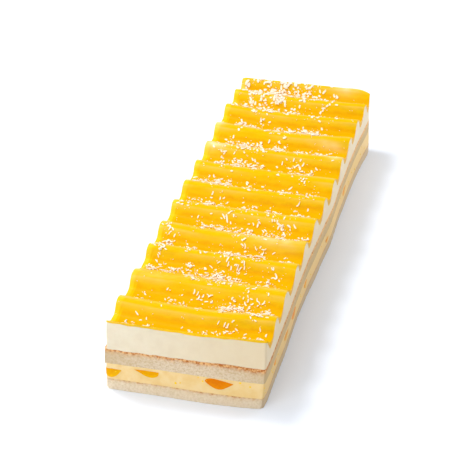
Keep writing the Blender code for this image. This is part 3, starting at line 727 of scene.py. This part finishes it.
def mango_flesh():
    """Ripe mango cut with a knife: wet orange flesh with faint fibres, from yellow to deep orange."""
    material, tree, fibre, ripe = new_finish("mango_flesh", [(2.5, 3.0, 0.5)], ["ripeness"])
    amount = add(tree, "Math", "Value", {"operation": "MULTIPLY_ADD"}, {1: FIBRE_SHOWING},
                 {0: fibre, 2: ripe})
    flesh = add(tree, "ValToRGB", "Color", links={"Fac": amount},
                stops=((0.15, "#F0B600"), (0.4, "#E8A200"), (0.6, "#E89400"), (0.8, "#E68800"),
                       (1.0, "#DE7800")))
    return joined(material, flesh, (fibre, 0.2, 0.2), roughness=0.35, gloss=0.08,
                  glow=0.15, spread=(1.0, 0.4, 0.05), reach=1.5, ior=FRUIT_IOR)


def coconut_flesh():
    """Desiccated coconut: dry white shreds that let a little light through at their edges."""
    material, tree, fibre = new_finish("coconut_flesh", [(1.2, 2.0, 0.5)])
    white = add(tree, "ValToRGB", "Color", links={"Fac": fibre},
                stops=((0.3, "#F7E6CE"), (0.7, "#FEF1E2")))
    return joined(material, white, None, roughness=0.5, gloss=0.3,
                  glow=0.2, spread=(1.0, 0.9, 0.7), reach=0.8)


# Meshes

def new_object(name, data):
    made = bpy.data.objects.new(name, data)
    bpy.context.scene.collection.objects.link(made)
    return made


def new_piece(name, points, faces, material, nodes=(), smooth_angle=40.0, values=None, turn_out=False):
    """Makes an object that belongs to the cake. values holds numbers for each point, by name."""
    mesh = bpy.data.meshes.new(name)
    mesh.from_pydata(np.asarray(points).reshape(-1, 3).tolist(), [], faces)
    for value_name, numbers in (values or {}).items():
        attribute = mesh.attributes.new(value_name, "FLOAT", "POINT")
        attribute.data.foreach_set("value", np.asarray(numbers, np.float32).ravel())
    if turn_out:
        bm = bmesh.new()
        bm.from_mesh(mesh)
        bmesh.ops.recalc_face_normals(bm, faces=bm.faces)
        bm.to_mesh(mesh)
        bm.free()
    mesh.shade_smooth()
    mesh.set_sharp_from_angle(angle=math.radians(smooth_angle))
    mesh.materials.append(material)
    piece = new_object(name, mesh)
    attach(piece, "root")
    if nodes:
        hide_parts(*nodes)
    return piece


def rim_places():
    """The grid's outer points in order: front, right side, back, left side."""
    places = [(i, 0) for i in range(LAST_LINE)]
    places += [(LAST_LINE, j) for j in range(LAST_STATION)]
    places += [(i, LAST_STATION) for i in range(LAST_LINE, 0, -1)]
    places += [(0, j) for j in range(LAST_STATION, 0, -1)]
    return places


RIM = rim_places()


def band(a, b, count):
    """Quads between two rings of points, given the first point of each."""
    return [[a + k, a + (k + 1) % count, b + (k + 1) % count, b + k] for k in range(count)]


def cap_faces(numbers, kept, up):
    """Faces over the grid that use only some of its lines away from the two ends."""
    faces = []
    for left, right in zip(kept, kept[1:]):
        front = [numbers[i, 0] for i in range(left, right + 1)]
        faces.append(front + [numbers[right, 1], numbers[left, 1]])
        for j in range(1, LAST_STATION - 1):
            faces.append([numbers[left, j], numbers[right, j], numbers[right, j + 1], numbers[left, j + 1]])
        back = [numbers[i, LAST_STATION] for i in range(right, left - 1, -1)]
        faces.append([numbers[left, LAST_STATION - 1], numbers[right, LAST_STATION - 1]] + back)
    return faces if up else [face[::-1] for face in faces]


def layer(low, high, relief, top_lines=2, bottom_lines=2):
    """A closed layer between two surfaces. relief moves its cut sides in and out.

    Returns its points, its faces, and for each point its depth below the top and its place in the
    straight block."""
    rows = max(2, round(float((high - low).max()) / ROW_HEIGHT))
    i, j = np.array(RIM).T
    heights = low[i, j] + (high[i, j] - low[i, j]) * np.linspace(0.0, 1.0, rows + 1)[:, None]
    block = xyz(X[i, j], ALONG[i, j] - LENGTH / 2, heights)
    outward = xyz(1.0 * (i == LAST_LINE) - (i == 0), 1.0 * (j == LAST_STATION) - (j == 0), 0.0)
    outward = outward / np.linalg.norm(outward, axis=-1, keepdims=True)
    points = [(as_cut(block) + outward * relief(block)[..., None]).reshape(-1, 3)]
    below = [(high[i, j] - heights).ravel()]
    places = [block.reshape(-1, 3)]
    count = len(RIM)
    faces = []
    for row in range(rows):
        faces += band(row * count, (row + 1) * count, count)
    start = (rows + 1) * count
    for surface, lines, row, up in ((high, top_lines, rows, True), (low, bottom_lines, 0, False)):
        kept = sorted({round(k * LAST_LINE / (lines - 1)) for k in range(lines)})
        inner = [(a, b) for a in kept[1:-1] for b in range(1, LAST_STATION)]
        numbers = {place: row * count + k for k, place in enumerate(RIM)}
        numbers.update({place: start + k for k, place in enumerate(inner)})
        if inner:
            i, j = np.array(inner).T
            block = xyz(X[i, j], ALONG[i, j] - LENGTH / 2, surface[i, j])
            points.append(as_cut(block))
            places.append(block)
            below.append((high - surface)[i, j])
        faces += cap_faces(numbers, kept, up)
        start += len(inner)
    return np.concatenate(points), faces, np.concatenate(below), np.concatenate(places)


# The layers

def crumb_relief(block):
    """Fine crumb: soft unevenness with small torn holes."""
    torn = clamped((rough(block, HOLE_SIZE, seed=21) - HOLE_START) / HOLE_FADE)
    return CRUMB_DEPTH * rough(block, CRUMB_SIZE, seed=22) - HOLE_DEPTH * torn


def bulging_crumb(block):
    """The upper sponge, which stands out on the left near the front."""
    at_left = np.where(block[..., 0] < -ON_SIDE_CUT * WIDTH, 1.0, 0.0)
    bulge = SPONGE_BULGE * at_left * hump(block[..., 1] + LENGTH / 2, 0.0, SPONGE_BULGE_SPREAD)
    return crumb_relief(block) + bulge


def cream_relief(block):
    """A clean cut with faint drag marks."""
    return DRAG_DEPTH * rough(block * DRAG_STRETCH, DRAG_SIZE, seed=23)


def across_and_along(places):
    """Place across from the left cut to the right, and along from the front end to the back, 0 to 1."""
    return clamped(places[:, 0] / WIDTH + 0.5), clamped(places[:, 1] / LENGTH + 0.5)


def by_cut(places, elsewhere, on_right_cut):
    """Numbers for points, of which those on the right cut have their own."""
    return np.where(places[:, 0] > ON_SIDE_CUT * WIDTH, on_right_cut, elsewhere)


def make_layers():
    floor = np.zeros_like(ALONG)
    # The fourth colour, #CBB392, is painted shade towards the right and on the right cut
    finish = almond_sponge("almond_sponge_base", ("#D8C5A2", "#E2CFB2", "#E9D9C0"), "#CBB392",
                           ("#BC7A36", "#DCAE6E"), crust_depth=-0.2, crust_reach=4.2, fading=0.4)
    points, faces, below, places = layer(floor, BASE_TOP, crumb_relief)
    across, _ = across_and_along(places)
    new_piece("sponge_base", points, faces, finish, ["base_sponge"],
              values={"below_top": below / MM,
                      "deeper_tone_and_shade": by_cut(places, BASE_SHADE_TO_RIGHT * eased(across), 1.0)})

    points, faces, _, places = layer(BASE_TOP, FILLING_TOP, cream_relief)
    across, _ = across_and_along(places)
    new_piece("filling", points, faces, passion_fruit_cream(), ["fruit_cream"],
              values={"deeper_tone_and_shade": by_cut(places, FILLING_SHADE_TO_RIGHT * eased(across), 1.0)})

    # The fourth colour, #C5AA7F, is painted shade at the right and on the right cut, and soaked crumb at the
    # left
    finish = almond_sponge("almond_sponge_upper", ("#C6AD88", "#D7C2A4", "#E0CFB4"), "#C5AA7F",
                           ("#B4692C", "#E5B477"), crust_depth=0.9, crust_reach=3.6, fading=0.44)
    points, faces, below, places = layer(FILLING_TOP, SPONGE_TOP, bulging_crumb)
    across, along = across_and_along(places)
    # Painted shade on the right cut's skin near the front, and painted light paler further back
    skin_cut_shade_and_light = CUT_SHADE_NEAR_FRONT * (1.0 - along) ** 4 - CUT_LIGHT_PALER
    new_piece("sponge_upper", points, faces, finish, ["upper_sponge"],
              values={"below_top": below / MM - BROWNER_AT_RIGHT * across ** 2,
                      "skin_darker_and_cut_shade": by_cut(places, DARKER_AT_RIGHT * across ** 2, skin_cut_shade_and_light),
                      "deeper_tone_and_shade": by_cut(places, UPPER_SOAK_AND_SHADE_SIDES * (2.0 * across - 1.0) ** 2, 1.0)})

    points, faces, _, places = layer(SPONGE_TOP, CREAM_TOP, cream_relief, top_lines=16)
    across, along = across_and_along(places)
    # The cream takes painted shade towards the right, and on the right cut, more near the front
    cream_cut_shade = CREAM_SHADE_ON_CUT + MORE_CREAM_SHADE_AT_FRONT * (1.0 - along)
    new_piece("cream_waves", points, faces, whipped_cream(), ["white_cream"],
              values={"deeper_tone_and_shade": by_cut(places, CREAM_SHADE_TO_RIGHT * eased(across), cream_cut_shade)})


def wave_phase(across, along):
    """How many waves lie before each place, as a whole number and a share."""
    lines = clamped((across / WIDTH + 0.5)) * (len(ACROSS) - 1)
    nearest = np.round(lines).astype(int)
    marks = np.arange(-1, WAVE_COUNT + 1)
    phase = np.empty_like(along)
    for line in range(len(ACROSS)):
        here = nearest == line
        phase[here] = np.interp(along[here], RISES[:, line], marks)
    return phase


def cream_and_highlights(places):
    """How pale the jelly is made: on the shoulders, thin jelly and painted highlight; along the crests,
    cream showing through and painted reflection; and in patches, cream showing through thin jelly.
    """
    across, along = places[:, 0], places[:, 1] + LENGTH / 2
    share = wave_phase(across, along) % 1.0
    streaks = rough(xyz(across, along * STREAK_THINNESS, 0.0), STREAK_LENGTH, seed=31)
    wedge = clamped((share - WEDGE_START) / (SHOULDER_SHARE - WEDGE_START))
    wedge = wedge * clamped((SHOULDER_SHARE + WEDGE_END - share) / WEDGE_END)
    wedge = wedge * clamped(WEDGE_STREAKS[0] + WEDGE_STREAKS[1] * streaks)
    crest = hump(share, CREST_SHARE, CREST_SPREAD) * clamped(CREST_STREAKS[0] + CREST_STREAKS[1] * streaks)
    showing = WEDGE_CREAM_AND_HIGHLIGHT * wedge + CREST_CREAM_AND_REFLECTION * crest
    blotch = 1.0 + BLOTCHINESS * rough(places, BLOTCH_SIZE, seed=32)
    for middle, place, half_width, half_length, amount in THIN_PATCHES:
        patch = hump(across, middle * MM, half_width * MM) * hump(along, place * MM, half_length * MM)
        showing = showing + amount * patch * blotch
    return clamped(showing)


def make_glaze():
    def smooth_edge(block):
        return np.full(block.shape[:-1], GLAZE_PROUD)

    top = GLAZE_TOP + GLAZE_UNEVENNESS * wander(ALONG, X, GLAZE_UNEVENNESS_SIZE, seed=33)
    under = np.minimum(GLAZE_UNDER, CREAM_TOP)
    run = clamped(RUN_MEAN + RUN_RANGE * wander(ALONG, X, GLAZE_RUN_SIZE, seed=34))
    whole = slice(None)
    for edge, most in (((0, whole), GLAZE_SIDE_RUN), ((-1, whole), GLAZE_SIDE_RUN),
                       ((whole, 0), GLAZE_RUN), ((whole, -1), GLAZE_RUN)):
        under[edge] = CREAM_TOP[edge] - most * run[edge]
    points, faces, _, places = layer(under, top, smooth_edge, top_lines=LAST_LINE + 1, bottom_lines=16)
    lowness = eased((LEMON_HEIGHT - places[:, 2]) / (LEMON_HEIGHT - AMBER_HEIGHT))
    inside = eased((LENGTH / 2 - np.abs(places[:, 1])) / END_RIM_WIDTH)
    # Painted glow: along the left cut the jelly is made lemon, standing for light from the left shining
    # through it
    lit_left_rim = eased((LEFT_GLOW_WIDTH - WIDTH / 2 - places[:, 0]) / LEFT_GLOW_FADE)
    share = wave_phase(places[:, 0], places[:, 1] + LENGTH / 2) % 1.0
    start, end, fade = TOP_FADES
    on_top = eased((share - SHOULDER_SHARE) / start) * eased((CREST_SHARE + end - share) / fade)
    depth = (POOL_AMBER * lowness + SLOPE_AMBER * (1.0 - on_top)) * inside - END_LEMON * (1.0 - inside)
    # The left rim's painted glow takes the place of the jelly's tone there
    depth = depth * (1.0 - lit_left_rim) - LEFT_GLOW_LEMON * lit_left_rim
    return new_piece("glaze_waves", points, faces, mango_jelly(), ["mango_glaze"],
                     smooth_angle=60.0, values={"jelly_tone_and_lit_rim": depth, "cream_and_highlights": cream_and_highlights(places)})


# Mango pieces

def outline_line(share, height, summit, ends):
    """Heights of a slice's upper or lower line over its width."""
    skew = math.log(0.5) / math.log(summit)
    bluntness = ends[0] + (ends[1] - ends[0]) * share
    return height * np.sin(math.pi * share ** skew).clip(0.0) ** bluntness


def slice_outline(width, drop, belly, bow, crown, ends):
    """A slice of mango seen on the cut: nearly flat above and bellied below."""
    share = 0.5 - 0.5 * np.cos(np.linspace(0.0, math.pi, SLICE_STEPS + 1))
    upper = np.stack([width * (share - 0.5), outline_line(share, bow, crown, ends)], axis=-1)
    lower = np.stack([width * (share - 0.5), outline_line(share, -drop, belly, ends)], axis=-1)
    return np.concatenate([upper, lower[-2:0:-1]])


def face_places(face, over, depth, height):
    """Points given by their place over a cut face, their depth behind it and their height."""
    at_end = face in ("front", "back")
    if at_end:
        over = np.clip(over, -WIDTH / 2 - SLICE_PROUD, WIDTH / 2 + SLICE_PROUD)
    away = (LENGTH if at_end else WIDTH) / 2 - depth
    if face in ("front", "left"):
        away = -away
    return as_cut(xyz(over, away, height) if at_end else xyz(away, over - LENGTH / 2, height))


def sunk_body(face, over, height, arms, rings, proud, deep):
    """Points of a body sunk in a cut face: its foremost point, rings from front to back, and its last.
    A ring is a share of the arms that reach from the middle to the outline, and a depth."""
    points = [face_places(face, np.array([over]), -proud, height)]
    for size, depth in rings:
        points.append(face_places(face, over + arms[:, 0] * size, depth, height + arms[:, 1] * size))
    points.append(face_places(face, np.array([over]), deep, height))
    return np.concatenate(points)


def ring_faces(start, rings, count):
    """Quads between rings of points, and a fan to the single point before and after them."""
    faces = []
    first, last = start, start + rings * count + 1
    for k in range(count):
        after = (k + 1) % count
        faces.append([first, start + 1 + k, start + 1 + after])
        for ring in range(rings - 1):
            a, b = start + 1 + ring * count, start + 1 + (ring + 1) * count
            faces.append([a + k, b + k, b + after, a + after])
        faces.append([last, last - count + after, last - count + k])
    return faces


def make_mango():
    finish = mango_flesh()
    for number, (place, middle, top, width, drop, belly, bow, *rest) in enumerate(MANGO_PIECES):
        crown, left_end, right_end, ripeness = rest
        face = place.split("_")[0]
        outline = slice_outline(width * MM, drop * MM, belly, bow * MM, crown, (left_end, right_end))
        centre = np.array([0.0, (bow - drop) * MM / 2.0])
        turn = np.arctan2(outline[:, 1] - centre[1], outline[:, 0])
        uneven = rough(xyz(np.cos(turn), np.sin(turn), number), OUTLINE_BUMP_SIZE, seed=41)
        arms = (outline - centre) * (1.0 + OUTLINE_BUMPS * uneven)[:, None]
        leaning = RIPER_ABOVE * arms[:, 1] / arms[:, 1].max() - RIPER_AT_LEFT * arms[:, 0] / arms[:, 0].max()
        rings = [(size, -SLICE_PROUD * (1.0 - RIM_SINKS * size ** 6)) for size in SLICE_FACE_RINGS]
        rings += [(size, inward * MANGO_DEPTH) for inward, size in SLICE_BODY_RINGS]
        points = sunk_body(face, middle * MM, top * MM + centre[1], arms, rings, SLICE_PROUD, MANGO_DEPTH)
        ripe = np.full(len(points), ripeness)
        for ring, size in enumerate(SLICE_FACE_RINGS):
            first = 1 + ring * len(arms)
            ripe[first:first + len(arms)] += leaning * size
        new_piece("slice_" + place, points, ring_faces(0, len(rings), len(arms)), finish,
                  ["mango_" + place], smooth_angle=50.0, values={"ripeness": ripe}, turn_out=True)


def make_specks():
    """Specks of mango pulp that show in the filling, each a small bead half sunk in the cut."""
    draw = random.Random(SPECK_SEED)
    specks = list(FRONT_SPECKS)
    for face, length, count in SPECK_COUNTS:
        start = -length if face in ("front", "back") else 0.0
        for _ in range(count):
            specks.append((face, draw.uniform(start, length), draw.uniform(*SPECK_HEIGHTS),
                           draw.uniform(*SPECK_ACROSS)))
    points, faces = [], []
    turn = np.linspace(0.0, 2.0 * math.pi, SPECK_SIDES, endpoint=False)
    for face, over, height, across in specks:
        radius = across * MM / 2.0
        arms = radius * np.stack([np.cos(turn), np.sin(turn)], axis=-1)
        rings = [(size, depth * radius - (SPECK_PROUD if depth < 0.0 else 0.0))
                 for size, depth in SPECK_RINGS]
        faces += ring_faces(sum(len(group) for group in points), len(rings), SPECK_SIDES)
        proud = SPECK_PROUD + SPECK_TIP * radius
        points.append(sunk_body(face, over * MM, height * MM, arms, rings, proud, radius))
    points = np.concatenate(points)
    new_piece("mango_specks", points, faces, bpy.data.materials["mango_flesh"],
              smooth_angle=60.0, values={"ripeness": np.full(len(points), SPECK_RIPENESS)}, turn_out=True)


# Coconut

class Strewing:
    """Lays bits of coconut on the glaze and remembers how high they have piled up."""

    def __init__(self, glaze):
        self.surface = BVHTree.FromObject(glaze, bpy.context.evaluated_depsgraph_get())
        self.draw = random.Random(COCONUT_SEED)
        self.pile = {}

    def under(self, x, y):
        """The glaze below a place, or nothing near the cake's edges and where it is too steep."""
        if abs(x) > WIDTH / 2 - COCONUT_MARGIN:
            return None
        hit, normal, _, _ = self.surface.ray_cast(Vector((x, y, ABOVE_CAKE)), Vector((0.0, 0.0, -1.0)))
        return None if hit is None or normal.z < STEEPEST else (hit.z, normal)

    def level(self, x, y):
        return self.pile.get((round(x / PILE_CELL), round(y / PILE_CELL)), 0.0)

    def raise_pile(self, x, y, height):
        self.pile[round(x / PILE_CELL), round(y / PILE_CELL)] = min(height, PILE_LIMIT)

    def shred(self, x, y, size, coarseness):
        """Points of one shred: a tapered, bowed and slightly twisted strip that lies on what is below."""
        draw = self.draw
        heading = draw.uniform(0.0, math.pi)
        length = draw.triangular(*SHRED_LENGTH) * size * MM
        width = draw.uniform(*SHRED_WIDTH) * (1.0 - WIDTH_GROWTH + WIDTH_GROWTH * size) * coarseness * MM
        thickness = draw.uniform(*SHRED_THICKNESS) * MM
        bow = draw.uniform(*SHRED_BOW) * length
        curl = draw.uniform(*SHRED_CURL) * MM
        twist = draw.uniform(*SHRED_TWIST)
        ahead = Vector((math.cos(heading), math.sin(heading), 0.0))
        aside = Vector((-ahead.y, ahead.x, 0.0))
        spots = []
        for share, scale in SHRED_SECTIONS:
            spot = Vector((x, y, 0.0)) + ahead * (length * share) + aside * (bow * (1.0 - 4.0 * share ** 2))
            rest = self.under(spot.x, spot.y)
            if rest is None:
                return None
            spots.append((share, scale, spot, rest))
        first, last = spots[0][3][0], spots[-1][3][0]
        chord = [first + (last - first) * (share + 0.5) for share, _, _, _ in spots]
        stiff = max(rest[0] - height for (_, _, _, rest), height in zip(spots, chord))
        piled = max(self.level(spot.x, spot.y) for _, _, spot, _ in spots)
        middles, ups = [], []
        for (share, _, spot, (ground, normal)), height in zip(spots, chord):
            drape = STIFFNESS * (height + stiff) + (1.0 - STIFFNESS) * ground
            lift = piled * PACKING + thickness * SHRED_LIFT + curl * 4.0 * share ** 2
            middles.append(Vector((spot.x, spot.y, drape)) + normal * lift)
            ups.append(normal)
            self.raise_pile(spot.x, spot.y, piled + thickness * PACKING)
        up = (sum(ups, Vector()) / len(ups)).normalized()
        loops = []
        for number, (share, scale, _, _) in enumerate(spots):
            before, after = middles[max(number - 1, 0)], middles[min(number + 1, len(middles) - 1)]
            tangent = (after - before).normalized()
            side = up.cross(tangent).normalized()
            side.rotate(Quaternion(tangent, twist * share))
            top = tangent.cross(side).normalized()
            half_side, half_top = side * (width * scale / 2.0), top * (thickness / 2.0)
            loops.append([middles[number] + half_side * a + half_top * b
                          for a, b in ((1, 1), (-1, 1), (-1, -1), (1, -1))])
        return loops

    def bit(self, x, y):
        """Points of one crumb of coconut: six corners of an uneven lump."""
        rest = self.under(x, y)
        if rest is None:
            return None
        draw = self.draw
        size = draw.uniform(*BIT_SIZE) * MM / 2.0
        centre = Vector((x, y, rest[0])) + rest[1] * (BIT_LIFT * size + PACKING * self.level(x, y))
        corners = []
        for axis in ((1, 0, 0), (0, 1, 0), (-1, 0, 0), (0, -1, 0), (0, 0, 1), (0, 0, -1)):
            stray = Vector([draw.uniform(-BIT_UNEVENNESS, BIT_UNEVENNESS) for _ in range(3)])
            corners.append(centre + (Vector(axis) + stray) * size)
        return corners


def in_drift(draw, crest_share, wave, start, end, farthest, nearest):
    """A place in a drift or strayed from it, thickest in the drift's middle."""
    middle = (start + end) / 2.0
    across = draw.triangular(start, end, middle)
    before = draw.uniform(nearest, farthest)
    if wave > 0 and farthest < CREST_REACH[0] and draw.random() < crest_share:
        across = middle + CREST_GATHERING * (across - middle)
        before = draw.uniform(*CREST_REACH)
    elif draw.random() < STRAY_SHARE:
        across = across + draw.uniform(-STRAY_ACROSS, STRAY_ACROSS)
        before = before + draw.uniform(-STRAY_ALONG, STRAY_ALONG)
    x = across * MM
    foot = float(np.interp(x, ACROSS, RISES[wave + 1]))
    return x, foot - before * MM - LENGTH / 2


def make_coconut(glaze):
    strewing = Strewing(glaze)
    draw = strewing.draw
    points, faces, bit_places = [], [], []
    for wave, drifts in enumerate(COCONUT_DRIFTS):
        backness = wave / (WAVE_COUNT - 1)
        for *drift, number in drifts:
            laid, tries = 0, 0
            count = round(number * (MORE_AT_FRONT + (MORE_AT_BACK - MORE_AT_FRONT) * backness))
            while laid < count and tries < MOST_TRIES * count:
                tries += 1
                x, y = in_drift(draw, ON_CREST_SHARE, wave, *drift)
                size = draw.uniform(*LARGE_SIZE) if draw.random() < LARGE_SHARE else draw.uniform(*SMALL_SIZE)
                loops = strewing.shred(x, y, size, 1.0 + COARSER_AT_BACK * backness ** 2)
                if loops is None:
                    continue
                laid += 1
                first, last = len(points), len(points) + 4 * (len(loops) - 1)
                points += [corner for loop in loops for corner in loop]
                faces.append([first + 3, first + 2, first + 1, first])
                for a in range(first, last, 4):
                    faces += band(a, a + 4, 4)
                faces.append([last, last + 1, last + 2, last + 3])
            bit_count = round(count * (BITS_FOR_EACH_SHRED + MORE_BITS_AT_BACK * backness))
            bit_places += [in_drift(draw, BITS_ON_CREST_SHARE, wave, *drift) for _ in range(bit_count)]
    for _ in range(BITS_ALL_OVER):
        bit_places.append((draw.uniform(-0.5, 0.5) * WIDTH, draw.uniform(-0.5, 0.5) * LENGTH))
    bit_points, bit_faces = [], []
    for x, y in bit_places:
        corners = strewing.bit(x, y)
        if corners is None:
            continue
        first = len(bit_points)
        bit_points += corners
        for a, b in ((0, 1), (1, 2), (2, 3), (3, 0)):
            bit_faces += [[first + a, first + b, first + 4], [first + b, first + a, first + 5]]
    finish = coconut_flesh()
    new_piece("coconut_shreds", points, faces, finish, smooth_angle=55.0)
    new_piece("coconut_bits", bit_points, bit_faces, finish, smooth_angle=30.0)


# Camera, floor and light

def add_softbox(name, place, target, width, height, power):
    light = bpy.data.lights.new(name, "AREA")
    light.shape = "RECTANGLE"
    light.size, light.size_y, light.energy = width, height, power
    box = new_object(name, light)
    box.location = place
    box.rotation_euler = (Vector(target) - Vector(place)).to_track_quat("-Z", "Y").to_euler()


def make_studio():
    camera = bpy.data.cameras.new("camera")
    camera.lens = CAMERA_LENS
    camera.sensor_width = SENSOR_WIDTH
    camera.clip_start = CAMERA_NEAR
    eye = new_object("camera", camera)
    stance = Matrix.Translation(CAMERA_PLACE)
    for angle, axis in ((CAMERA_TURN, "Z"), (CAMERA_TILT, "X"), (CAMERA_ROLL, "Z")):
        stance = stance @ Matrix.Rotation(math.radians(angle), 4, axis)
    eye.matrix_world = stance
    bpy.context.scene.camera = eye

    finish = bpy.data.materials.new("studio_floor")
    finish.use_nodes = True
    put_values(finish.node_tree.nodes["Principled BSDF"],
               {"Base Color": "#EBF1FB", "Roughness": 0.9, "Specular IOR Level": 0.0})
    mesh = bpy.data.meshes.new("floor")
    corners = ((-1, -1), (1, -1), (1, 1), (-1, 1))
    mesh.from_pydata([(a * FLOOR_HALF, b * FLOOR_HALF, -FLOOR_DROP) for a, b in corners], [], [(0, 1, 2, 3)])
    mesh.materials.append(finish)
    floor = new_object("floor", mesh)

    world = bpy.data.worlds.new("studio")
    world.use_nodes = True
    put_values(world.node_tree.nodes["Background"], {"Color": "#FFFFFF", "Strength": WORLD_STRENGTH})
    bpy.context.scene.world = world
    for box in SOFTBOXES:
        add_softbox(*box)
    bpy.context.scene.view_settings.view_transform = "Standard"


make_studio()
make_layers()
glaze = make_glaze()
make_mango()
make_specks()
make_coconut(glaze)
